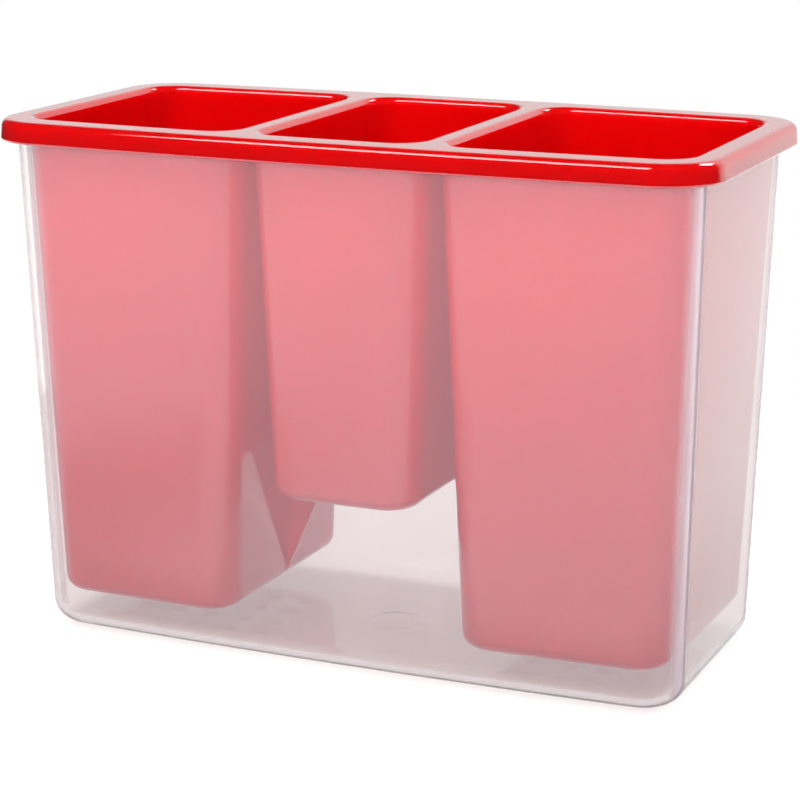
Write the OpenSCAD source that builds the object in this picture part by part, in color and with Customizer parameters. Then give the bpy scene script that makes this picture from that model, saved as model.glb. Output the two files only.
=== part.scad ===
// Cutlery drainer: a red insert with three cups, tied by webs, hangs by its rim in a frosted container.
// X runs along the long side, Y to the back and Z up. The origin is under the middle of the container.

/* [Overall] */
// Length over the rim of the insert
overall_length = 213; // [180:1:260]
// Depth over the rim of the insert, at the middle of the long sides
overall_depth = 105.6; // [90:0.2:140]
// Height from the table to the top of the rim
overall_height = 151; // [120:1:190]
// How far the long sides draw in from their middle to the ends
side_bow = 2.9; // [0:0.1:6]
// Corner radius of the rim, seen from above
rim_corner_radius = 17; // [12:0.5:24]

/* [Rim of the insert] */
// Thickness of the top plate
plate_thickness = 2; // [1.4:0.1:3]
// Height of the rim from the lower edge of its skirt to its top
skirt_height = 6.1; // [4.5:0.1:12]
// Thickness of the skirt
skirt_wall = 1.8; // [1.2:0.1:2.4]
// How much further out the skirt stands at its lower edge
skirt_flare = 0.6; // [0:0.1:1.2]
// Radius of the rim's outer top edge
rim_edge_radius = 2.3; // [1:0.1:3]
// Distance from the container's wall to the outside of the rim
rim_overhang = 4.9; // [4:0.1:8]

/* [Container] */
// Thickness of the container's walls
container_wall = 2; // [1.4:0.1:3]
// Thickness of the container's floor
container_floor = 2.2; // [1.6:0.1:4]
// Draft of the container's end walls, in degrees
container_end_draft = 1.5; // [0.5:0.1:2.5]
// Draft of the container's long walls, in degrees
container_side_draft = 2.1; // [0.5:0.1:3]
// Radius of the outer edge along the foot
foot_radius = 7; // [3:0.5:9]
// Radius of the inner edge around the floor
floor_radius = 5; // [3:0.5:9]
// Clearance between the lip at the top and the skirt around it
lip_clearance = 0.6; // [0.4:0.1:1]
// Height of the lip
lip_height = 2.2; // [1.6:0.1:3]
// Diameter of the raised gate mark in the middle of the floor
gate_diameter = 19; // [10:1:30]
// Height of the gate mark, and depth of the well under it
gate_rise = 0.9; // [0.4:0.1:1.2]

/* [Cups] */
// Thickness of the cup walls
cup_wall = 1.8; // [1.2:0.1:2.4]
// Thickness of the cup floors
cup_floor = 2; // [1.4:0.1:3]
// Space between the container's floor and the two deep cups
deep_cup_gap = 8.6; // [5:0.1:30]
// Space between the container's floor and the middle cup
middle_cup_gap = 45.6; // [30:0.1:80]
// Length of the middle cup over its walls, at the top
middle_cup_length = 51.9; // [40:0.1:62]
// How far the middle cup sits to the right of the centre
middle_cup_shift = -0.55; // [-6:0.05:6]
// Space between neighbouring cups, at the top
cup_spacing = 3.45; // [2.5:0.05:8]
// Draft of the cup walls that face each other, in degrees
cup_draft = 2.2; // [1:0.1:3]
// Clearance between a deep cup's end wall and the container, at the top
end_clearance_top = 0.9; // [0.6:0.1:3]
// Clearance between a deep cup's end wall and the container, at the cup's floor
end_clearance_foot = 2.7; // [1:0.1:5]
// Clearance between the cups and the container's long walls, at the top
side_clearance_top = 2.1; // [1:0.1:4]
// Clearance between the cups and the container's long walls, at the deep cups' floor
side_clearance_foot = 1; // [0.8:0.1:4]
// How much rounder the cups' corners are than the container's inner corners
cup_corner_easing = 0.4; // [0:0.1:4]
// Outer radius along the edge of the cup floors
cup_foot_radius = 4; // [2.5:0.5:6]
// Radius of the edge where the plate rolls over into a cup
mouth_radius = 1.7; // [0.6:0.1:1.8]

/* [Webs between the cups] */
// Thickness of the webs that tie the middle cup to the deep cups
web_thickness = 1.6; // [1:0.1:2.4]
// Height of a web's lower end over the underside of the deep cup
web_rise = 2.4; // [1:0.1:20]
// How far a web reaches in under the middle cup
web_reach = 3; // [1:0.1:8]

/* [Drain holes] */
// Diameter of the drain holes
drain_diameter = 5; // [3:0.5:6]
// Distance between the centres of the drain holes
drain_pitch = 11; // [9:0.5:16]

/* [Hidden] */

// Facets of a corner arc, of a long side and of a rounded edge
corner_steps = 6;
side_steps = 6;
edge_steps = 4;
// How far a cut runs past the surface that it opens
overrun = 1;
// Radius that a corner keeps when a wall or a fillet would use it up
least_radius = 0.5;

half_length = overall_length / 2;
half_depth = overall_depth / 2;
seat_height = overall_height - plate_thickness;
skirt_foot = overall_height - skirt_height;

// Container: half sizes of its outside at a height, and the radius of its corners
wall_half_length = half_length - rim_overhang;
wall_half_depth = half_depth - rim_overhang;
wall_corner_radius = rim_corner_radius - rim_overhang;
lip_width = rim_overhang - skirt_wall - skirt_flare - lip_clearance;
lip_edge = lip_height / 4;
function wall_x(z) = wall_half_length - (seat_height - z) * tan(container_end_draft);
function wall_y(z) = wall_half_depth - (seat_height - z) * tan(container_side_draft);

// Cups: heights of their undersides, and where their outsides run at a height
deep_foot = container_floor + deep_cup_gap;
middle_foot = container_floor + middle_cup_gap;
cup_end_top = wall_x(seat_height) - container_wall - end_clearance_top;
cup_end_foot = wall_x(deep_foot) - container_wall - end_clearance_foot;
cup_side_top = wall_y(seat_height) - container_wall - side_clearance_top;
cup_side_foot = wall_y(deep_foot) - container_wall - side_clearance_foot;
function along_cup(z, foot, top) = foot + (top - foot) * (z - deep_foot) / (seat_height - deep_foot);
function cup_end(z) = along_cup(z, cup_end_foot, cup_end_top);
function cup_side(z) = along_cup(z, cup_side_foot, cup_side_top);
function drawn_in(z) = (seat_height - z) * tan(cup_draft);
middle_left = middle_cup_shift - middle_cup_length / 2;
middle_right = middle_cup_shift + middle_cup_length / 2;
cup_corner_radius = wall_corner_radius - container_wall + cup_corner_easing;
mouth_rise = min(mouth_radius, plate_thickness, cup_wall);
cup_floor_radius = max(cup_foot_radius - cup_wall, least_radius);

// Height of each cup's underside, and the functions that give its left and right wall at a height
left_cup = [deep_foot, function(z) -cup_end(z), function(z) middle_left - cup_spacing - drawn_in(z)];
middle_cup = [middle_foot, function(z) middle_left + drawn_in(z), function(z) middle_right - drawn_in(z)];
right_cup = [deep_foot, function(z) middle_right + cup_spacing + drawn_in(z), function(z) cup_end(z)];
cups = [left_cup, middle_cup, right_cup];

// A rounded edge turns from upright at step 0 to level at the last step:
// how far it has drawn in from the wall, and how far it still is from the level it ends at
function edge_inset(radius, step) = radius * (1 - cos(90 * step / edge_steps));
function edge_height(radius, step) = radius * (1 - sin(90 * step / edge_steps));

// One level outline: a rounded rectangle whose long sides draw in towards the ends
function corner(x, y, radius, start) = [
    for (i = [0 : corner_steps])
        let (a = start + 90 * i / corner_steps)
        [x + radius * cos(a), y + radius * sin(a)]
];
function side(from, to, y) = [for (i = [1 : side_steps - 1]) [from + (to - from) * i / side_steps, y]];
function bowed(point, half) = [point.x, point.y * (1 - side_bow * pow(point.x / half_length, 2) / half)];
function outline(left, right, half, asked_radius, z) =
    let (
        radius = max(asked_radius, least_radius),
        low = left + radius,
        high = right - radius,
        y = half - radius,
        flat = concat(
            corner(high, y, radius, 0), side(high, low, half), corner(low, y, radius, 90),
            corner(low, -y, radius, 180), side(low, high, -half), corner(high, -y, radius, 270)))
    [for (point = flat) let (p = bowed(point, half)) [p.x, p.y, z]];
function centred(half_x, half_y, radius, z) = outline(-half_x, half_x, half_y, radius, z);

// Solid through a stack of outlines, from the first to the last
module loft(rings) {
    count = len(rings[0]);
    last = len(rings) - 1;
    foot = [[for (i = [0 : count - 1]) i]];
    top = [[for (i = [count - 1 : -1 : 0]) last * count + i]];
    walls = [
        for (k = [0 : last - 1], i = [0 : count - 1])
            let (a = k * count + i, b = k * count + (i + 1) % count)
            each [[a, b + count, b], [a, a + count, b + count]]
    ];
    polyhedron(points = [for (ring = rings) each ring], faces = concat(foot, walls, top));
}

// Outline of the container's outside at a height, drawn in by an inset
function wall_ring(z, inset) =
    centred(wall_x(z) - inset, wall_y(z) - inset, wall_corner_radius - inset, z);

module container_outside() {
    lip_foot = seat_height - lip_height;
    loft([
        for (i = [edge_steps : -1 : 0])
            wall_ring(edge_height(foot_radius, i), edge_inset(foot_radius, i)),
        wall_ring(lip_foot - lip_width, 0),
        wall_ring(lip_foot, -lip_width),
        wall_ring(seat_height - lip_edge, -lip_width),
        wall_ring(seat_height, lip_edge - lip_width)
    ]);
}

module container_inside() {
    loft([
        for (i = [edge_steps : -1 : 0])
            wall_ring(container_floor + edge_height(floor_radius, i),
                container_wall + edge_inset(floor_radius, i)),
        wall_ring(seat_height + overrun, container_wall)
    ]);
}

// Low round swelling of the floor over the moulding gate
module gate_mark() {
    radius = gate_diameter / 2;
    translate([0, 0, container_floor - overrun])
        cylinder(h = overrun + gate_rise, r1 = radius + overrun, r2 = radius - gate_rise);
}

// The well keeps inside the slope of the mark by as much as the mark rises
module gate_well() {
    translate([0, 0, -overrun])
        cylinder(h = overrun + gate_rise, r = gate_diameter / 2 - 2 * gate_rise);
}

module container() {
    color([0.93, 0.92, 0.91, 0.45])
        difference() {
            union() {
                difference() {
                    container_outside();
                    container_inside();
                }
                gate_mark();
            }
            gate_well();
        }
}

// Outline of the rim at a height, drawn in by an inset
function rim_ring(z, inset) =
    centred(half_length - inset, half_depth - inset, rim_corner_radius - inset, z);

module rim() {
    difference() {
        loft([
            rim_ring(skirt_foot, 0),
            for (i = [0 : edge_steps])
                rim_ring(overall_height - edge_height(rim_edge_radius, i),
                    skirt_flare + edge_inset(rim_edge_radius, i))
        ]);
        loft([
            rim_ring(skirt_foot - overrun, skirt_wall),
            rim_ring(skirt_foot, skirt_wall),
            rim_ring(seat_height, skirt_wall + skirt_flare)
        ]);
    }
}

// Outline of a cup at a height, drawn in by an inset
function cup_ring(cup, z, inset) =
    outline(cup[1](z) + inset, cup[2](z) - inset, cup_side(z) - inset, cup_corner_radius - inset, z);

module cup_outside(cup) {
    loft([
        for (i = [edge_steps : -1 : 0])
            cup_ring(cup, cup[0] + edge_height(cup_foot_radius, i), edge_inset(cup_foot_radius, i)),
        cup_ring(cup, seat_height + plate_thickness / 2, 0)
    ]);
}

// The mouth's curve runs on past the top of the plate, as far as its last step reaches below it
module cup_inside(cup) {
    last = edge_steps - 1;
    loft([
        for (i = [edge_steps : -1 : 0])
            cup_ring(cup, cup[0] + cup_floor + edge_height(cup_floor_radius, i),
                cup_wall + edge_inset(cup_floor_radius, i)),
        for (i = [0 : last])
            cup_ring(cup, overall_height - edge_height(mouth_rise, i), cup_wall - edge_inset(mouth_rise, i)),
        cup_ring(cup, overall_height + edge_height(mouth_rise, last),
            cup_wall - 2 * mouth_rise + edge_inset(mouth_rise, last))
    ]);
}

// Upright web halfway back between the left and the middle cup, with a slanted lower edge.
// It runs on into both cups, and their insides then cut it off.
module web() {
    foot = deep_foot + web_rise;
    top = seat_height + plate_thickness / 2;
    deep_wall = left_cup[2];
    middle_wall = middle_cup[1];
    rotate([90, 0, 0])
        linear_extrude(height = web_thickness, center = true)
            polygon([
                [deep_wall(top) - cup_wall, top],
                [deep_wall(foot) - cup_wall, foot],
                [deep_wall(foot), foot],
                [middle_wall(middle_foot) + web_reach, middle_foot + cup_floor / 2],
                [middle_wall(top) + cup_wall, top]
            ]);
}

// Square grid of round holes, centred on the flat part of a cup's floor
module drain_holes(cup) {
    foot = cup[0];
    margin = cup_foot_radius + drain_diameter / 2;
    left = cup[1](foot) + margin;
    right = cup[2](foot) - margin;
    deep = 2 * (cup_side(foot) - side_bow - margin);
    columns = floor((right - left) / drain_pitch);
    rows = floor(deep / drain_pitch);
    for (column = [0 : columns], row = [0 : rows])
        translate([
            (left + right) / 2 + (column - columns / 2) * drain_pitch,
            (row - rows / 2) * drain_pitch,
            foot - overrun
        ])
            cylinder(h = cup_floor + 2 * overrun, d = drain_diameter, $fn = 24);
}

module cup_insert() {
    color([0.85, 0.02, 0.03])
        difference() {
            union() {
                rim();
                for (cup = cups)
                    cup_outside(cup);
                web();
                // The right web mirrors the left one in the middle cup
                translate([2 * middle_cup_shift, 0, 0])
                    mirror([1, 0, 0])
                        web();
            }
            for (cup = cups) {
                cup_inside(cup);
                drain_holes(cup);
            }
        }
}

container();
cup_insert();
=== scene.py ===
"""Looks of a cutlery drainer: a glossy red insert with three cups hangs in a hazy clear container."""
import math

import bmesh
import bpy
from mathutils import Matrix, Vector


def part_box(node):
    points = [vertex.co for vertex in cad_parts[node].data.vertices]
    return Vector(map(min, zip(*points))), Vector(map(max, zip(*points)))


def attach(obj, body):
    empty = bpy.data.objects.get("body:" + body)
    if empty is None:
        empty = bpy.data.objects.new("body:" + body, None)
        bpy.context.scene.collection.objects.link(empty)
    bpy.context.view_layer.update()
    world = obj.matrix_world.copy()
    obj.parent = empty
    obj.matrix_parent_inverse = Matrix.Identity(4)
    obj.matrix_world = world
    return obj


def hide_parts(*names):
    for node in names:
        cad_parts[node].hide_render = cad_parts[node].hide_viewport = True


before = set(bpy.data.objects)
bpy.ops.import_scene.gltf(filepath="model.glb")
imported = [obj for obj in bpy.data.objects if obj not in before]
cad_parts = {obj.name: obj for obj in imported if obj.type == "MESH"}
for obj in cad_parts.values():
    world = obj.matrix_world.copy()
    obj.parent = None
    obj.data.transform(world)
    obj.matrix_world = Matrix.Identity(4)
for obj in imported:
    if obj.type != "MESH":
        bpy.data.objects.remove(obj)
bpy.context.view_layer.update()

# Sizes that the frame gives, in metres as all sizes here
insert_low, insert_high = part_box("cup_insert")
HALF_LENGTH = insert_high.x
HALF_DEPTH = insert_high.y
TOP = insert_high.z
DEEP_FOOT = insert_low.z
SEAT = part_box("container")[1].z
PLATE = TOP - SEAT

# Both pieces: how much their long sides draw in towards the ends
SIDE_BOW = 0.0029

# Rim and skirt of the insert
RIM_CORNER = 0.017
RIM_ROLL = 0.0023
SKIRT_FOOT = TOP - 0.0061
SKIRT_WALL = 0.0018
SKIRT_FLARE = 0.0006
SKIRT_EASING = 0.0006
RIM_OVERHANG = 0.0049

# Cups of the insert
CUP_WALL = 0.0018
CUP_FLOOR = 0.002
CUP_DRAFT = math.radians(2.2)
CUP_SPACING = 0.00345
CUP_FOOT_ROUND = 0.004
CUP_MOUTH_ROUND = 0.0017
MIDDLE_FOOT = DEEP_FOOT + 0.037
MIDDLE_LENGTH = 0.0519
MIDDLE_SHIFT = -0.00055
END_GAP_TOP = 0.0005
END_GAP_FOOT = 0.0021
SIDE_GAP_TOP = 0.0021
SIDE_GAP_FOOT = 0.001

# Webs that tie the deep cups to the middle one
WEB_THICKNESS = 0.0016
WEB_RISE = 0.0024
WEB_REACH = 0.003
WEB_EASING = 0.0003

# Drain holes in the cup floors; their cutter reaches past the floor by a share of its thickness
DRAIN_DIAMETER = 0.005
DRAIN_PITCH = 0.011
DRAIN_EASING = 0.0005
DRAIN_SIDES = 20
CUTTER_REACH = 0.75
CUTTER_STEPS = 13

# Container
CONTAINER_WALL = 0.002
CONTAINER_FLOOR = 0.0022
END_DRAFT = math.radians(1.5)
SIDE_DRAFT = math.radians(2.1)
FOOT_ROUND = 0.007
FLOOR_ROUND = 0.005
LIP_WIDTH = 0.0019
LIP_HEIGHT = 0.0022
LIP_ROUND = 0.00055
SEAT_GAP = 0.00005
GATE_RADIUS = 0.0095
GATE_RISE = 0.0001
GATE_RUN = 0.0024
GATE_ROUND = 0.02

# Fineness of the curved forms
CORNER_STEPS = 24
SIDE_STEPS = 20
EDGE_STEPS = 8
WEB_EDGE_STEPS = 3
CIRCLE_STEPS = 64
SUPPORT = 0.00025
SHARP_ANGLE = math.radians(38)

# Sizes worked out from the above
WALL_HALF_LENGTH = HALF_LENGTH - RIM_OVERHANG
WALL_HALF_DEPTH = HALF_DEPTH - RIM_OVERHANG
WALL_CORNER = RIM_CORNER - RIM_OVERHANG
CUP_CORNER = WALL_CORNER - CONTAINER_WALL
CUP_FLOOR_ROUND = CUP_FOOT_ROUND - CUP_WALL
MIDDLE_LEFT = MIDDLE_SHIFT - MIDDLE_LENGTH / 2
MIDDLE_RIGHT = MIDDLE_SHIFT + MIDDLE_LENGTH / 2


def wall_half_length(z):
    return WALL_HALF_LENGTH - (SEAT - z) * math.tan(END_DRAFT)


def wall_half_depth(z):
    return WALL_HALF_DEPTH - (SEAT - z) * math.tan(SIDE_DRAFT)


CUP_END_TOP = wall_half_length(SEAT) - CONTAINER_WALL - END_GAP_TOP
CUP_END_FOOT = wall_half_length(DEEP_FOOT) - CONTAINER_WALL - END_GAP_FOOT
CUP_SIDE_TOP = wall_half_depth(SEAT) - CONTAINER_WALL - SIDE_GAP_TOP
CUP_SIDE_FOOT = wall_half_depth(DEEP_FOOT) - CONTAINER_WALL - SIDE_GAP_FOOT


def along_cup(z, foot, top):
    """A size at height z that goes evenly from its value at the deep cups' foot to its value at the seat."""
    return foot + (top - foot) * (z - DEEP_FOOT) / (SEAT - DEEP_FOOT)


def cup_end(z):
    return along_cup(z, CUP_END_FOOT, CUP_END_TOP)


def cup_side(z):
    return along_cup(z, CUP_SIDE_FOOT, CUP_SIDE_TOP)


def drawn_in(z):
    return (SEAT - z) * math.tan(CUP_DRAFT)


class Cup:
    """A cup's foot height, and where its left and right walls stand at each height."""

    def __init__(self, foot, left, right):
        self.foot = foot
        self.left = left
        self.right = right

    def ring(self, inset, z):
        half = cup_side(z) - inset
        return outline(self.left(z) + inset, self.right(z) - inset, half, CUP_CORNER - inset, z)


LEFT_CUP = Cup(
    DEEP_FOOT,
    lambda z: -cup_end(z),
    lambda z: MIDDLE_LEFT - CUP_SPACING - drawn_in(z),
)
MIDDLE_CUP = Cup(
    MIDDLE_FOOT,
    lambda z: MIDDLE_LEFT + drawn_in(z),
    lambda z: MIDDLE_RIGHT - drawn_in(z),
)
RIGHT_CUP = Cup(
    DEEP_FOOT,
    lambda z: MIDDLE_RIGHT + CUP_SPACING + drawn_in(z),
    cup_end,
)
CUPS = (LEFT_CUP, MIDDLE_CUP, RIGHT_CUP)


# Rings: level outlines that a profile is carried round, counter-clockwise from above

def outline(left, right, half, radius, z):
    """Rounded rectangle whose long sides draw in towards the ends of the object."""
    low, high, reach = left + radius, right - radius, half - radius
    corners = ((high, reach, 0), (low, reach, 90), (low, -reach, 180), (high, -reach, 270))
    flat = []
    for x, y, start in corners:
        for step in range(CORNER_STEPS + 1):
            angle = math.radians(start + 90 * step / CORNER_STEPS)
            flat.append((x + radius * math.cos(angle), y + radius * math.sin(angle)))
        if start in (0, 180):
            side = 1 if start == 0 else -1
            for step in range(1, SIDE_STEPS):
                across = (high - low) * step / SIDE_STEPS
                flat.append((high - across if side == 1 else low + across, side * half))
    return [Vector((x, y * (1 - SIDE_BOW * (x / HALF_LENGTH) ** 2 / half), z)) for x, y in flat]


def rim_ring(inset, z):
    length = HALF_LENGTH - inset
    return outline(-length, length, HALF_DEPTH - inset, RIM_CORNER - inset, z)


def wall_ring(inset, z):
    length = wall_half_length(z) - inset
    return outline(-length, length, wall_half_depth(z) - inset, WALL_CORNER - inset, z)


def circle(radius, z):
    turn = 2 * math.pi / CIRCLE_STEPS
    return [
        Vector((radius * math.cos(turn * step), radius * math.sin(turn * step), z))
        for step in range(CIRCLE_STEPS)
    ]


# Meshes from profiles and rings

def arc(before, here, after, radius):
    """Points of a rounded corner, with one more on each flat beside it so that the flats shade as flat."""
    back = (before - here).normalized()
    ahead = (after - here).normalized()
    half_angle = back.angle(ahead) / 2
    reach = radius / math.tan(half_angle)
    centre = here + (back + ahead).normalized() * radius / math.sin(half_angle)
    start = here + back * reach - centre
    end = here + ahead * reach - centre
    first = math.atan2(start.y, start.x)
    sweep = (math.atan2(end.y, end.x) - first + math.pi) % (2 * math.pi) - math.pi
    angles = [first + sweep * step / EDGE_STEPS for step in range(EDGE_STEPS + 1)]
    points = [centre + Vector((math.cos(angle), math.sin(angle))) * radius for angle in angles]
    if (before - here).length > 2 * (reach + SUPPORT):
        points.insert(0, here + back * (reach + SUPPORT))
    if (after - here).length > 2 * (reach + SUPPORT):
        points.append(here + ahead * (reach + SUPPORT))
    return points


def rounded(*corners):
    """Profile as (inset, height) points from corners of (inset, height, radius)."""
    places = [Vector(corner[:2]) for corner in corners]
    points = [places[0]]
    for before, here, after, corner in zip(places, places[1:], places[2:], corners[1:]):
        points += arc(before, here, after, corner[2]) if corner[2] else [here]
    return points + [places[-1]]


def skin(bm, low, high):
    """Quads from one loop of vertices to the next."""
    for i in range(len(low)):
        bm.faces.new((low[i - 1], low[i], high[i], high[i - 1]))


def loft(bm, ring, profile):
    """Skins a profile carried round a ring and gives its first and last loops of vertices."""
    loops = [[bm.verts.new(point) for point in ring(*place)] for place in profile]
    for low, high in zip(loops, loops[1:]):
        skin(bm, low, high)
    return loops[0], loops[-1]


def fill(bm, *loops):
    """Closes the level region inside the first loop and outside the others."""
    edges = [bm.edges.get((loop[i - 1], loop[i])) for loop in loops for i in range(len(loop))]
    bmesh.ops.triangle_fill(bm, use_beauty=True, edges=edges)


def linked_object(bm, name):
    """Turns a bmesh into an object at the origin."""
    mesh = bpy.data.meshes.new(name)
    bm.to_mesh(mesh)
    bm.free()
    made = bpy.data.objects.new(name, mesh)
    bpy.context.scene.collection.objects.link(made)
    return made


def closed_object(bm, name):
    """Turns a closed bmesh into an object at the origin, with faces outwards."""
    bmesh.ops.recalc_face_normals(bm, faces=bm.faces)
    return linked_object(bm, name)


def settled(piece, material):
    """Turns what the modifiers made into the piece's own mesh, smooth with true edges."""
    bpy.context.view_layer.update()
    seen = piece.evaluated_get(bpy.context.evaluated_depsgraph_get())
    mesh = bpy.data.meshes.new_from_object(seen)
    mesh.name = piece.name
    piece.modifiers.clear()
    piece.data = mesh
    mesh.materials.clear()
    mesh.materials.append(material)
    mesh.shade_smooth()
    mesh.set_sharp_from_angle(angle=SHARP_ANGLE)
    return piece


# Node trees written as expressions

class Value:
    """An output socket, with the arithmetic that adds Math nodes."""

    def __init__(self, graph, socket):
        self.graph = graph
        self.socket = socket

    def beside(self, name):
        """Another output of the same node."""
        return Value(self.graph, find(self.socket.node.outputs, name))

    def math(self, operation, *values):
        inputs = dict(enumerate(values))
        return self.graph.add("ShaderNodeMath", {"operation": operation}, inputs)

    def __add__(self, other):
        return self.math("ADD", self, other)

    __radd__ = __add__

    def __sub__(self, other):
        return self.math("SUBTRACT", self, other)

    def __rsub__(self, other):
        return self.math("SUBTRACT", other, self)

    def __mul__(self, other):
        return self.math("MULTIPLY", self, other)

    __rmul__ = __mul__

    def __truediv__(self, other):
        return self.math("DIVIDE", self, other)

    def __rtruediv__(self, other):
        return self.math("DIVIDE", other, self)

    def __pow__(self, other):
        return self.math("POWER", self, other)

    def __rpow__(self, other):
        return self.math("POWER", other, self)

    def __abs__(self):
        return self.math("ABSOLUTE", self)

    def limited(self):
        """The value, kept from 0 to 1."""
        return self.math("MINIMUM", self.math("MAXIMUM", self, 0.0), 1.0)


def find(sockets, key):
    """A socket by its place, or else by its identifier or name."""
    if isinstance(key, int):
        return sockets[key]
    return next(socket for socket in sockets if key in (socket.identifier, socket.name))


class Graph:
    """A node tree that is filled by calls."""

    def __init__(self, tree):
        self.tree = tree
        tree.nodes.clear()

    def add(self, kind, settings=None, inputs=None, output=0):
        """Adds a node, with its settings first, and gives one of its outputs."""
        node = self.tree.nodes.new(kind)
        for name, value in (settings or {}).items():
            setattr(node, name, value)
        for key, value in (inputs or {}).items():
            socket = find(node.inputs, key)
            if isinstance(value, Value):
                self.tree.links.new(value.socket, socket)
            else:
                socket.default_value = value
        return Value(self, find(node.outputs, output)) if node.outputs else None

    def position(self):
        return self.add("ShaderNodeTexCoord", output="Object")

    def part(self, vector, axis):
        return self.add("ShaderNodeSeparateXYZ", inputs={0: vector}, output=axis)

    def noise(self, vector, scale, detail):
        inputs = {"Vector": vector, "Scale": scale, "Detail": detail}
        return self.add("ShaderNodeTexNoise", inputs=inputs, output="Fac")

    def blend(self, factor, first, second):
        """A colour that goes from the first to the second."""
        inputs = {"Factor_Float": factor, "A_Color": first, "B_Color": second}
        return self.add("ShaderNodeMix", {"data_type": "RGBA"}, inputs, "Result_Color")

    def smooth(self, value, zone):
        """0 before the start of a zone and 1 past its end, with a soft step between."""
        inputs = {"Value": value, "From Min": zone[0], "From Max": zone[1]}
        settings = {"interpolation_type": "SMOOTHSTEP"}
        return self.add("ShaderNodeMapRange", settings, inputs, "Result")

    def matt(self, colour):
        return self.add("ShaderNodeBsdfDiffuse", inputs={"Color": colour})

    def glow(self, colour, strength):
        return self.add("ShaderNodeEmission", inputs={"Color": colour, "Strength": strength})

    def mixed(self, factor, first, second):
        """A shader that goes from the first to the second."""
        return self.add("ShaderNodeMixShader", inputs={0: factor, 1: first, 2: second})

    def bump(self, height, depth):
        inputs = {"Height": height, "Distance": depth, "Strength": 1.0}
        return self.add("ShaderNodeBump", inputs=inputs)


def new_material(name):
    """An empty material and the graph that fills it."""
    material = bpy.data.materials.new(name)
    material.use_nodes = True
    return material, Graph(material.node_tree)


# Finishes

# Red plastic
RED_BRIGHT = (0.88, 0.002, 0.004, 1)
RED_DEEP = (0.82, 0.001, 0.003, 1)
RED_IOR = 1.68
RED_GLOW = 1.0
GLOW_DEPTH = 0.008
GLOW_RADIUS = (1.0, 0.02, 0.02)
RED_ROUGHNESS = 0.03
FLOW_SCALE = 38
FLOW_ROUGHNESS = 0.04
SCUFF_SCALE = 420
SCUFF_START = 0.5
SCUFF_ROUGHNESS = 0.06
PEEL_SCALE = 900
PEEL_DEPTH = 0.000001
COAT_WEIGHT = 1.0
COAT_ROUGHNESS = 0.03

# Clear plastic; the tint for lamps is what each surface lets pass of a lamp's light
CLEAR_TINT = (0.888, 0.855, 0.835, 1)
LAMP_TINT = (0.6, 0.6, 0.6, 1)
CLEAR_IOR = 1.5
CLEAR_ROUGHNESS = 0.02
CLOUD_SCALE = 16
CLOUD_ROUGHNESS = 0.03
RIPPLE_SCALE = 70
RIPPLE_DEPTH = 0.000003

# Haze of the clear plastic, which thickens at the upright corners beside the end walls
# The haze colour's pink is painted red light, as cast by the red cups; the milky haze itself is the
# plastic's own
HAZE_COLOUR = (0.96, 0.78, 0.9, 1)
HAZE_SHARE = 0.075
HAZE_LEAST = 0.8
HAZE_SWING = 0.4
HAZE_THROUGH = 0.15
CORNER_HAZE = 0.42
CORNER_END_ZONE = (-0.3 * WALL_CORNER, -0.02 * WALL_CORNER)
CORNER_SIDE_ZONE = (-1.1 * WALL_CORNER, -0.7 * WALL_CORNER)


def gloss_red():
    """Injection-moulded red plastic: even colour, faint flow marks, a fine orange peel and light scuffs."""
    material, graph = new_material("gloss_red")
    place = graph.position()
    flow = graph.noise(place, FLOW_SCALE, detail=3)
    scuffs = graph.noise(place, SCUFF_SCALE, detail=6)
    peel = graph.noise(place, PEEL_SCALE, detail=1)
    scuffed = SCUFF_ROUGHNESS * (scuffs - SCUFF_START).limited()
    plastic = graph.add("ShaderNodeBsdfPrincipled", inputs={
        "Base Color": graph.blend(flow, RED_DEEP, RED_BRIGHT),
        "Roughness": RED_ROUGHNESS + FLOW_ROUGHNESS * flow + scuffed,
        "IOR": RED_IOR,
        "Coat Weight": COAT_WEIGHT,
        "Coat Roughness": COAT_ROUGHNESS,
        "Subsurface Weight": RED_GLOW,
        "Subsurface Radius": GLOW_RADIUS,
        "Subsurface Scale": GLOW_DEPTH,
        "Normal": graph.bump(peel, PEEL_DEPTH),
    })
    graph.add("ShaderNodeOutputMaterial", inputs={"Surface": plastic})
    return material


def upright_corners(graph, place):
    """1 at the container's upright corners, beside its end walls, and 0 elsewhere."""
    x = graph.part(place, "X")
    y, z = x.beside("Y"), x.beside("Z")
    out_of_end = abs(x) - wall_half_length(0) - math.tan(END_DRAFT) * z
    out_of_side = abs(y) - wall_half_depth(0) + SIDE_BOW - math.tan(SIDE_DRAFT) * z
    return graph.smooth(out_of_end, CORNER_END_ZONE) * graph.smooth(out_of_side, CORNER_SIDE_ZONE)


def frosted_clear():
    """Clear plastic with a milky haze: it bends light as clear plastic does, under a pale veil."""
    material, graph = new_material("frosted_clear")
    place = graph.position()
    cloud = graph.noise(place, CLOUD_SCALE, detail=4)
    ripple = graph.noise(place, RIPPLE_SCALE, detail=1)
    # The veil's pink tint is painted red light from the cups inside
    veil = graph.mixed(
        HAZE_THROUGH,
        graph.matt(HAZE_COLOUR),
        graph.add("ShaderNodeBsdfTranslucent", inputs={"Color": HAZE_COLOUR}),
    )
    clear = graph.add("ShaderNodeBsdfPrincipled", inputs={
        "Base Color": CLEAR_TINT,
        "Roughness": CLEAR_ROUGHNESS + CLOUD_ROUGHNESS * cloud,
        "IOR": CLEAR_IOR,
        "Transmission Weight": 1.0,
        "Normal": graph.bump(ripple, RIPPLE_DEPTH),
    })
    haze = HAZE_SHARE * (HAZE_LEAST + HAZE_SWING * cloud) + CORNER_HAZE * upright_corners(graph, place)
    surface = graph.mixed(haze, clear, veil)
    lamp_ray = graph.add("ShaderNodeLightPath", output="Is Shadow Ray")
    through = graph.add("ShaderNodeBsdfTransparent", inputs={"Color": LAMP_TINT})
    graph.add("ShaderNodeOutputMaterial", inputs={"Surface": graph.mixed(lamp_ray, surface, through)})
    return material


# Insert

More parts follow.
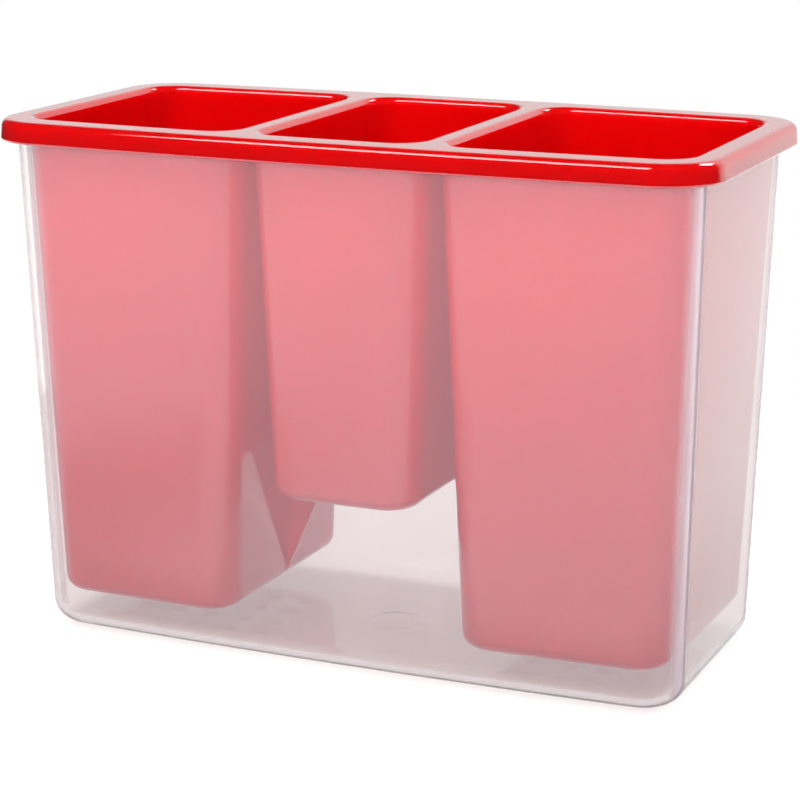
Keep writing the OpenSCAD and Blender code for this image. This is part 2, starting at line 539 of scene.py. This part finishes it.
def cup_shell(bm, cup):
    """Skins one cup inside and outside, closes its floor, and gives its loops on the plate."""
    inner_foot = cup.foot + CUP_FLOOR
    outside = rounded(
        (CUP_FOOT_ROUND + 3 * SUPPORT, cup.foot, 0),
        (0, cup.foot, CUP_FOOT_ROUND),
        (0, SEAT, 0),
    )
    inside = rounded(
        (-2 * SUPPORT, TOP, 0),
        (CUP_WALL, TOP, CUP_MOUTH_ROUND),
        (CUP_WALL, inner_foot, CUP_FLOOR_ROUND),
        (CUP_WALL + CUP_FLOOR_ROUND + 3 * SUPPORT, inner_foot, 0),
    )
    outer_floor, root = loft(bm, cup.ring, outside)
    mouth, inner_floor = loft(bm, cup.ring, inside)
    fill(bm, outer_floor)
    fill(bm, inner_floor)
    return root, mouth


def insert_shell():
    """The plate with its rolled rim and skirt, and the three cups, as one closed shell."""
    bm = bmesh.new()
    skirt = rounded(
        (SKIRT_WALL + SKIRT_FLARE + 6 * SUPPORT, SEAT, 0),
        (SKIRT_WALL + SKIRT_FLARE, SEAT, SKIRT_EASING),
        (SKIRT_WALL, SKIRT_FOOT, SKIRT_EASING / 2),
        (0, SKIRT_FOOT, SKIRT_EASING),
        (SKIRT_FLARE, TOP, RIM_ROLL),
        (SKIRT_FLARE + RIM_ROLL + 4 * SUPPORT, TOP, 0),
    )
    underside, plate = loft(bm, rim_ring, skirt)
    loops = [cup_shell(bm, cup) for cup in CUPS]
    fill(bm, underside, *[root for root, mouth in loops])
    fill(bm, plate, *[mouth for root, mouth in loops])
    return closed_object(bm, "insert_shell")


def web_outline(easing):
    """The left web from the front: it ends inside both walls, and the easing draws back its free edge."""
    foot = DEEP_FOOT + WEB_RISE
    top = SEAT + PLATE / 2
    fold = Vector((MIDDLE_CUP.left(MIDDLE_FOOT) + CUP_FOOT_ROUND, MIDDLE_FOOT + CUP_FOOT_ROUND))
    bend = CUP_FOOT_ROUND - CUP_WALL / 2
    last = math.acos((CUP_FOOT_ROUND - WEB_REACH) / bend)
    angles = [last * (1 - step / EDGE_STEPS) for step in range(EDGE_STEPS + 1)]
    wall = [fold - bend * Vector((math.cos(angle), math.sin(angle))) for angle in angles]
    free_start = Vector((LEFT_CUP.right(foot), foot))
    free_end = wall[0]
    run = (free_end - free_start).normalized()
    drawn_back = Vector((-run.y, run.x)) * easing
    return [
        Vector((LEFT_CUP.right(top) - CUP_WALL / 2, top)),
        Vector((LEFT_CUP.right(foot) - CUP_WALL / 2, foot)) + drawn_back,
        free_start + drawn_back,
        free_end + drawn_back,
        *wall[1:],
        Vector((MIDDLE_CUP.left(top) + CUP_WALL / 2, top)),
    ]


def web_slices():
    """Places of a web's outlines from its front face to its back, each with the easing of its free edge."""
    half = WEB_THICKNESS / 2
    turns = [math.pi / 2 * step / WEB_EDGE_STEPS for step in range(WEB_EDGE_STEPS + 1)]
    front = [
        (-half + WEB_EASING * (1 - math.sin(turn)), WEB_EASING * (1 - math.cos(turn)))
        for turn in turns
    ]
    return front[::-1] + [(-y, easing) for y, easing in front]


def web_blank(name, on_right):
    """A web with eased edges, on the left or else mirrored to the right of the middle cup."""
    bm = bmesh.new()
    loops = []
    for y, easing in web_slices():
        points = web_outline(easing)
        if on_right:
            points = [Vector((2 * MIDDLE_SHIFT - point.x, point.y)) for point in points]
        loops.append([bm.verts.new((point.x, y, point.y)) for point in points])
    for near, far in zip(loops, loops[1:]):
        skin(bm, near, far)
    bm.faces.new(loops[0])
    bm.faces.new(loops[-1])
    return closed_object(bm, name)


def drain_sockets(tree):
    """Gives the drain tree its named inputs and its output."""
    tree.interface.new_socket("Geometry", in_out="OUTPUT", socket_type="NodeSocketGeometry")
    sockets = {
        "Geometry": "NodeSocketGeometry",
        "Columns": "NodeSocketInt",
        "Rows": "NodeSocketInt",
        "Pitch": "NodeSocketFloat",
        "Diameter": "NodeSocketFloat",
        "Easing": "NodeSocketFloat",
        "Floor": "NodeSocketFloat",
        "Middle": "NodeSocketVector",
        "Plastic": "NodeSocketMaterial",
    }
    for name, kind in sockets.items():
        tree.interface.new_socket(name, in_out="INPUT", socket_type=kind)


def drain_cutter(graph, given):
    """One hole's cutter: an upright rod that widens at the floor's two faces, to ease the hole's edges."""
    easing, thickness = given.beside("Easing"), given.beside("Floor")
    up = graph.add("ShaderNodeCombineXYZ", inputs={"Z": thickness * CUTTER_REACH})
    down = graph.add("ShaderNodeCombineXYZ", inputs={"Z": thickness * -CUTTER_REACH})
    line = graph.add("GeometryNodeCurvePrimitiveLine", inputs={"Start": down, "End": up}, output="Curve")
    steps = graph.add("GeometryNodeResampleCurve", inputs={"Curve": line, "Count": CUTTER_STEPS})
    height = graph.part(graph.add("GeometryNodeInputPosition"), "Z")
    rise = ((abs(height) - thickness / 2 + easing) / easing).limited()
    widening = easing * (1 - (1 - rise * rise) ** 0.5)
    swept = graph.add("GeometryNodeSetCurveRadius", inputs={
        "Curve": steps,
        "Radius": given.beside("Diameter") / 2 + widening,
    })
    round_profile = graph.add("GeometryNodeCurvePrimitiveCircle", inputs={
        "Resolution": DRAIN_SIDES,
        "Radius": 1.0,
    }, output="Curve")
    return graph.add("GeometryNodeCurveToMesh", inputs={
        "Curve": swept,
        "Profile Curve": round_profile,
        "Scale": graph.add("GeometryNodeInputRadius"),
        "Fill Caps": True,
    })


def drain_tree():
    """Geometry Nodes tree that cuts a grid of drain holes with eased edges through a floor."""
    tree = bpy.data.node_groups.new("drain_holes", "GeometryNodeTree")
    drain_sockets(tree)
    graph = Graph(tree)
    given = graph.add("NodeGroupInput")
    pitch, columns, rows = given.beside("Pitch"), given.beside("Columns"), given.beside("Rows")
    grid = graph.add("GeometryNodeMeshGrid", inputs={
        "Size X": (columns - 1) * pitch,
        "Size Y": (rows - 1) * pitch,
        "Vertices X": columns,
        "Vertices Y": rows,
    })
    cutter = drain_cutter(graph, given)
    copies = graph.add("GeometryNodeInstanceOnPoints", inputs={"Points": grid, "Instance": cutter})
    cutters = graph.add("GeometryNodeRealizeInstances", inputs={"Geometry": copies})
    placed = graph.add("GeometryNodeTransform", inputs={
        "Geometry": cutters,
        "Translation": given.beside("Middle"),
    })
    drained = graph.add("GeometryNodeMeshBoolean", {"operation": "DIFFERENCE", "solver": "MANIFOLD"}, {
        "Mesh 1": given.beside("Geometry"),
        "Mesh 2": placed,
    }, "Mesh")
    plain = graph.add("GeometryNodeRealizeInstances", inputs={"Geometry": drained})
    finished = graph.add("GeometryNodeSetMaterial", inputs={
        "Geometry": plain,
        "Material": given.beside("Plastic"),
    })
    graph.add("NodeGroupOutput", inputs={"Geometry": finished})
    return tree


def drain_modifier(piece, tree, cup, plastic):
    """Sets the drain tree to one cup's floor."""
    margin = CUP_FOOT_ROUND + DRAIN_DIAMETER / 2
    left = cup.left(cup.foot) + margin
    right = cup.right(cup.foot) - margin
    depth = 2 * (cup_side(cup.foot) - SIDE_BOW - margin)
    values = {
        "Columns": math.floor((right - left) / DRAIN_PITCH) + 1,
        "Rows": math.floor(depth / DRAIN_PITCH) + 1,
        "Pitch": DRAIN_PITCH,
        "Diameter": DRAIN_DIAMETER,
        "Easing": DRAIN_EASING,
        "Floor": CUP_FLOOR,
        "Middle": ((left + right) / 2, 0.0, cup.foot + CUP_FLOOR / 2),
        "Plastic": plastic,
    }
    modifier = piece.modifiers.new("drain_holes", "NODES")
    modifier.node_group = tree
    for item in tree.interface.items_tree:
        if item.in_out == "INPUT" and item.name in values:
            modifier[item.identifier] = values[item.name]


def cup_insert():
    """The insert: its shell, the two webs joined on, and the drain holes cut through the cup floors."""
    plastic = gloss_red()
    piece = insert_shell()
    webs = [web_blank("web_left", on_right=False), web_blank("web_right", on_right=True)]
    for web in webs:
        union = piece.modifiers.new(web.name, "BOOLEAN")
        union.operation = "UNION"
        union.solver = "MANIFOLD"
        union.object = web
    tree = drain_tree()
    for cup in CUPS:
        drain_modifier(piece, tree, cup, plastic)
    settled(piece, plastic)
    for web in webs:
        bpy.data.objects.remove(web)
    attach(piece, "insert")
    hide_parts("cup_insert")


# Container

def gate_profile(level):
    """The gate mark's shallow step on one face of the floor, from its middle outwards."""
    return rounded(
        (GATE_RADIUS - 2 * GATE_RUN, level + GATE_RISE, 0),
        (GATE_RADIUS - GATE_RUN, level + GATE_RISE, GATE_ROUND),
        (GATE_RADIUS, level, GATE_ROUND),
        (GATE_RADIUS + GATE_RUN, level, 0),
    )


def container():
    """The tub: drawn walls with a lip, a rounded foot and floor, and the mark of the moulding gate."""
    bm = bmesh.new()
    top = SEAT - SEAT_GAP
    lip_foot = SEAT - LIP_HEIGHT
    walls = rounded(
        (FOOT_ROUND + 3 * SUPPORT, 0, 0),
        (0, 0, FOOT_ROUND),
        (0, lip_foot - LIP_WIDTH, LIP_ROUND),
        (-LIP_WIDTH, lip_foot, LIP_ROUND),
        (-LIP_WIDTH, top, LIP_ROUND),
        (CONTAINER_WALL, top, LIP_ROUND),
        (CONTAINER_WALL, CONTAINER_FLOOR, FLOOR_ROUND),
        (CONTAINER_WALL + FLOOR_ROUND + 3 * SUPPORT, CONTAINER_FLOOR, 0),
    )
    underside, floor = loft(bm, wall_ring, walls)
    well_top, well_foot = loft(bm, circle, gate_profile(0))
    mark_top, mark_foot = loft(bm, circle, gate_profile(CONTAINER_FLOOR))
    fill(bm, well_top)
    fill(bm, underside, well_foot)
    fill(bm, floor, mark_foot)
    fill(bm, mark_top)
    piece = settled(closed_object(bm, "container_shell"), frosted_clear())
    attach(piece, "container")
    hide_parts("container")


# Studio

# Camera
CAMERA_PLACE = (0.28145, -0.64262, 0.24833)
CAMERA_PITCH = math.radians(14.258)
CAMERA_TURN = math.radians(23.569)
CAMERA_LENS = 112.385
CAMERA_SHIFT = -0.0038

# Lamps: where they aim, and the power of an area lamp for each unit of its brightness and area
RIM_MIDDLE = Vector((0, 0, TOP))
AREA_LAMP_FACTOR = 4

# Rays: a weight above any share of rays, which takes out those that light a surface
LIGHTING_CUT = 9

# Floor: grey where it lights the object, and paper with a glow where it is seen
FLOOR_RADIUS = 0.34
FLOOR_DROP = 0.0002
FLOOR_FADE = (0.6 * FLOOR_RADIUS, 0.95 * FLOOR_RADIUS)
WHITE = (1, 1, 1, 1)
LIGHTING_GREY = (0.35, 0.35, 0.35, 1)
PAPER_GREY = (0.5, 0.5, 0.5, 1)
PAPER_GLOW = 0.78
# Painted shadow under the object: a lower glow, tinted pink as painted red light from the cups
PAINTED_SHADOW_TINT = (1, 0.88, 0.88, 1)
PAINTED_SHADOW_GLOW = 0.61
PAINTED_SHADOW_LENGTH = (0.098, 0.088)
PAINTED_SHADOW_DEPTH = (0.046, 0.028)

# Table: what mirroring surfaces show of the floor, by place from the object's middle
FRONT_TABLE = 1.6
BACK_TABLE = 1.15
# Painted shadow in the mirrored table near the object and to its left, pinkish as painted red light from the
# cups
TABLE_SHADOW_GLOW = 0.85
TABLE_TINT = (0.92, 0.9, 1.0, 1)
TABLE_SHADOW_TINT = (1, 0.92, 0.94, 1)
TABLE_GLARE = 0.5
BEHIND_ZONE = (-0.06, 0.04)
LEFT_ZONE = (-0.04, -0.16)
NEAR_RIGHT = (0.15, 0.11)
NEAR_FRONT = (-0.1, -0.058)
GLARE_RIGHT = (0.14, 0.26)
GLARE_FRONT = (-0.16, 0.02)
GLARE_BACK = (0.16, 0.06)

# World: strengths of its light, and zones of a ray's direction along X, Y or Z
BACK_LIGHT = 0.76
RIGHT_LIGHT = 0.16
FRONT_LIGHT = 0.03
DEEP_LIGHT = 0.9
LIGHTING_SHARE = 1.2
BACKDROP_Y = (0.55, 0.8)
LIGHTING_Y = (0.14, 0.3)
RIGHT_LIGHT_X = (-0.1, 0.4)
BELOW_Z = (-0.1, -0.17)
FRONT_TABLE_Y = (0.5, -0.2)
TINTED_Y = (0.2, -0.2)
SIDE_GLARE_X = (0.45, 0.85)
SIDE_GLARE_Y = (-0.5, 0.3)
CORNER_GLARE = 1.5
CORNER_GLARE_X = (0.4, 0.5)
CORNER_GLARE_SLOPE = 1.11
CORNER_GLARE_WIDTH = 0.16


def unless_lighting(path, share):
    """A share of rays from 0 to 1, without those that carry light to a surface."""
    return (share - LIGHTING_CUT * path.beside("Diffuse Depth")).limited()


def seen_directly(graph):
    """1 for rays that show the stage to the camera, in a mirror or through clear plastic, 0 for others."""
    path = graph.add("ShaderNodeLightPath", output="Is Camera Ray")
    return unless_lighting(path, path + path.beside("Is Glossy Ray") + path.beside("Is Transmission Ray"))


def mirrored(graph):
    """1 for rays that show the stage in a mirroring surface, 0 for others."""
    path = graph.add("ShaderNodeLightPath", output="Glossy Depth")
    return unless_lighting(path, path)


def floor_paper(graph, across, ahead, edge):
    """The floor as it is seen: paper that takes shadows, with a pink painted shadow under the object, and
    white at its edge.
    """
    # Painted shadow: the glow is lower and pink in the object's footprint
    under = graph.smooth(abs(across), PAINTED_SHADOW_LENGTH) * graph.smooth(abs(ahead), PAINTED_SHADOW_DEPTH)
    lift = graph.mixed(under, graph.glow(WHITE, PAPER_GLOW), graph.glow(PAINTED_SHADOW_TINT, PAINTED_SHADOW_GLOW))
    shaded = graph.add("ShaderNodeAddShader", inputs={0: graph.matt(PAPER_GREY), 1: lift})
    return graph.mixed(edge, shaded, graph.glow(WHITE, 1.0))


def floor_table(graph, across, ahead, edge):
    """The floor as mirroring surfaces show it: a bright table, with a dim, pinkish painted shadow near the
    object and to its left.
    """
    table = graph.mixed(
        graph.smooth(ahead, BEHIND_ZONE),
        graph.glow(TABLE_TINT, FRONT_TABLE),
        graph.glow(WHITE, BACK_TABLE),
    )
    # Painted shadow: the table dims to a pinkish glow near the object and to its left
    near = graph.smooth(across, NEAR_RIGHT) * graph.smooth(ahead, NEAR_FRONT)
    to_left = graph.smooth(across, LEFT_ZONE) * (1 - edge)
    painted_shadow_table = graph.mixed((to_left + near).limited(), table, graph.glow(TABLE_SHADOW_TINT, TABLE_SHADOW_GLOW))
    beside = graph.smooth(ahead, GLARE_FRONT) * graph.smooth(ahead, GLARE_BACK)
    to_right = graph.smooth(across, GLARE_RIGHT) * beside
    return graph.mixed(to_right, painted_shadow_table, graph.glow(WHITE, FRONT_TABLE + TABLE_GLARE))


def studio_floor_finish():
    """Pale floor that shows as white, keeps the object's shadow and fades into the white round it."""
    material, graph = new_material("studio_floor")
    place = graph.position()
    distance = graph.add("ShaderNodeVectorMath", {"operation": "LENGTH"}, {0: place}, "Value")
    edge = graph.smooth(distance, FLOOR_FADE)
    across = graph.part(place, "X")
    ahead = across.beside("Y")
    paper = floor_paper(graph, across, ahead, edge)
    seen = graph.mixed(seen_directly(graph), graph.matt(LIGHTING_GREY), paper)
    finish = graph.mixed(mirrored(graph), seen, floor_table(graph, across, ahead, edge))
    graph.add("ShaderNodeOutputMaterial", inputs={"Surface": finish})
    return material


def studio_floor():
    bm = bmesh.new()
    bm.faces.new([bm.verts.new(point) for point in circle(FLOOR_RADIUS, -FLOOR_DROP)])
    floor = linked_object(bm, "studio_floor")
    floor.data.materials.append(studio_floor_finish())
    floor.visible_glossy = False


def softbox(name, place, width, height, radiance, aim=RIM_MIDDLE, spread=180):
    """Area lamp of a given brightness per area, turned to its aim and hidden from the camera."""
    lamp = bpy.data.lights.new(name, "AREA")
    lamp.shape = "RECTANGLE"
    lamp.size = width
    lamp.size_y = height
    lamp.spread = math.radians(spread)
    lamp.energy = AREA_LAMP_FACTOR * radiance * width * height
    made = bpy.data.objects.new(name, lamp)
    made.location = place
    made.rotation_euler = (aim - Vector(place)).to_track_quat("-Z", "Y").to_euler()
    made.visible_camera = False
    bpy.context.scene.collection.objects.link(made)
    return made


def studio_lamps():
    """A highlight for the gloss, a lamp from behind, and two fill lights that no surface mirrors."""
    highlight = softbox("front_left_high", (-0.27, -0.64, 0.87), width=0.62, height=0.36, radiance=4.0)
    highlight.visible_diffuse = False
    softbox("back_right_high", (0.5, 0.5, 0.86), width=0.4, height=0.3, radiance=5.0)
    front = softbox(
        "front_fill", (0.38, -0.8, 0.36), width=1.0, height=0.4, radiance=1.48,
        aim=Vector((0.1, 0, 0.33)), spread=64,
    )
    front.visible_glossy = False
    left = softbox("left_soft", (-0.42, -0.35, 0.85), width=0.6, height=0.4, radiance=4.0)
    left.visible_glossy = False


def backdrop_strength(graph, path, right, ahead):
    """Brightness round the object: bright behind it and dim in front, over a wider angle as light."""
    backdrop = graph.smooth(ahead, BACKDROP_Y)
    lamp_side = LIGHTING_SHARE * graph.smooth(ahead, LIGHTING_Y)
    shown = backdrop + path.beside("Diffuse Depth").limited() * (lamp_side - backdrop)
    behind = BACK_LIGHT + RIGHT_LIGHT * graph.smooth(right, RIGHT_LIGHT_X)
    return FRONT_LIGHT + (behind - FRONT_LIGHT) * shown


def table_strength(graph, right, ahead):
    """Brightness of the table that goes on past the floor, as mirroring surfaces show it."""
    front = (FRONT_TABLE - BACK_TABLE) * graph.smooth(ahead, FRONT_TABLE_Y)
    side = TABLE_GLARE * graph.smooth(right, SIDE_GLARE_X) * graph.smooth(ahead, SIDE_GLARE_Y)
    off_line = abs(ahead - CORNER_GLARE_SLOPE * right) / CORNER_GLARE_WIDTH
    corner = CORNER_GLARE * (1 - off_line).limited() * graph.smooth(right, CORNER_GLARE_X)
    return BACK_TABLE + front + side + corner


def studio_world():
    """White for the camera, a backdrop as light, and a table below for mirroring surfaces."""
    world = bpy.data.worlds.new("studio")
    world.use_nodes = True
    bpy.context.scene.world = world
    graph = Graph(world.node_tree)
    right = graph.part(graph.add("ShaderNodeTexCoord", output="Generated"), "X")
    ahead = right.beside("Y")
    path = graph.add("ShaderNodeLightPath", output="Is Camera Ray")
    mirror = mirrored(graph)
    direct = (path + unless_lighting(path, path.beside("Transmission Depth")) * (1 - mirror)).limited()
    below = mirror * graph.smooth(right.beside("Z"), BELOW_Z)
    deep = unless_lighting(path, path.beside("Glossy Depth") - 1) * (1 - below)
    lit = backdrop_strength(graph, path, right, ahead)
    table = table_strength(graph, right, ahead)
    strength = lit + direct * (1 - lit) + below * (table - lit) + deep * (DEEP_LIGHT - lit)
    colour = graph.blend(below * graph.smooth(ahead, TINTED_Y), WHITE, TABLE_TINT)
    shine = graph.add("ShaderNodeBackground", inputs={"Color": colour, "Strength": strength})
    graph.add("ShaderNodeOutputWorld", inputs={"Surface": shine})


def studio_camera():
    lens = bpy.data.cameras.new("camera")
    lens.lens = CAMERA_LENS
    lens.shift_y = CAMERA_SHIFT
    camera = bpy.data.objects.new("camera", lens)
    camera.location = CAMERA_PLACE
    camera.rotation_euler = (math.pi / 2 - CAMERA_PITCH, 0, CAMERA_TURN)
    bpy.context.scene.collection.objects.link(camera)
    bpy.context.scene.camera = camera


cup_insert()
container()
studio_camera()
studio_floor()
studio_world()
studio_lamps()

scene = bpy.context.scene
scene.view_settings.view_transform = "Standard"
scene.cycles.transparent_max_bounces = 24
scene.cycles.max_bounces = 32
scene.cycles.transmission_bounces = 24
scene.cycles.glossy_bounces = 24
scene.cycles.diffuse_bounces = 8
